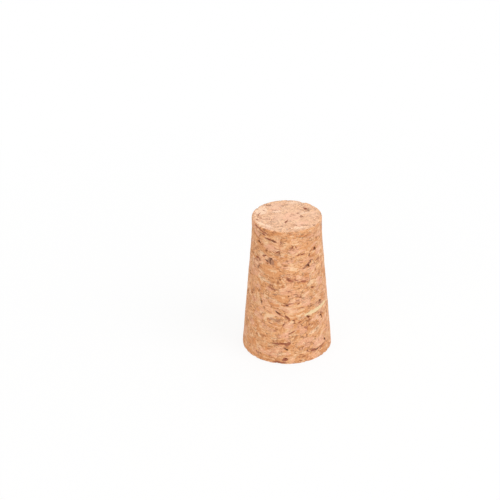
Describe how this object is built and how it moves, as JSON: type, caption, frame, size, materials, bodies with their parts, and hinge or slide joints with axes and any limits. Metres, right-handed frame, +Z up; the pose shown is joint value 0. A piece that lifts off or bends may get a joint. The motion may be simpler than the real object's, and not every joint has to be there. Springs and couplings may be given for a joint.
{
  "type": "cork stopper",
  "caption": "Tapered stopper of bonded cork granules, ground to a plain cone with a short cylindrical lead, for closing a round neck or hole.",
  "frame": {"origin": "centre of the wide end, on the surface that the stopper stands on", "axes": "+Z up the axis from the wide end to the narrow end; -Y is the side called the front"},
  "size_m": [0.024, 0.024, 0.038],
  "materials": {
    "cork": "matte"
  },
  "bodies": {
    "root": {"stopper": "cork"}
  },
  "joints": []
}
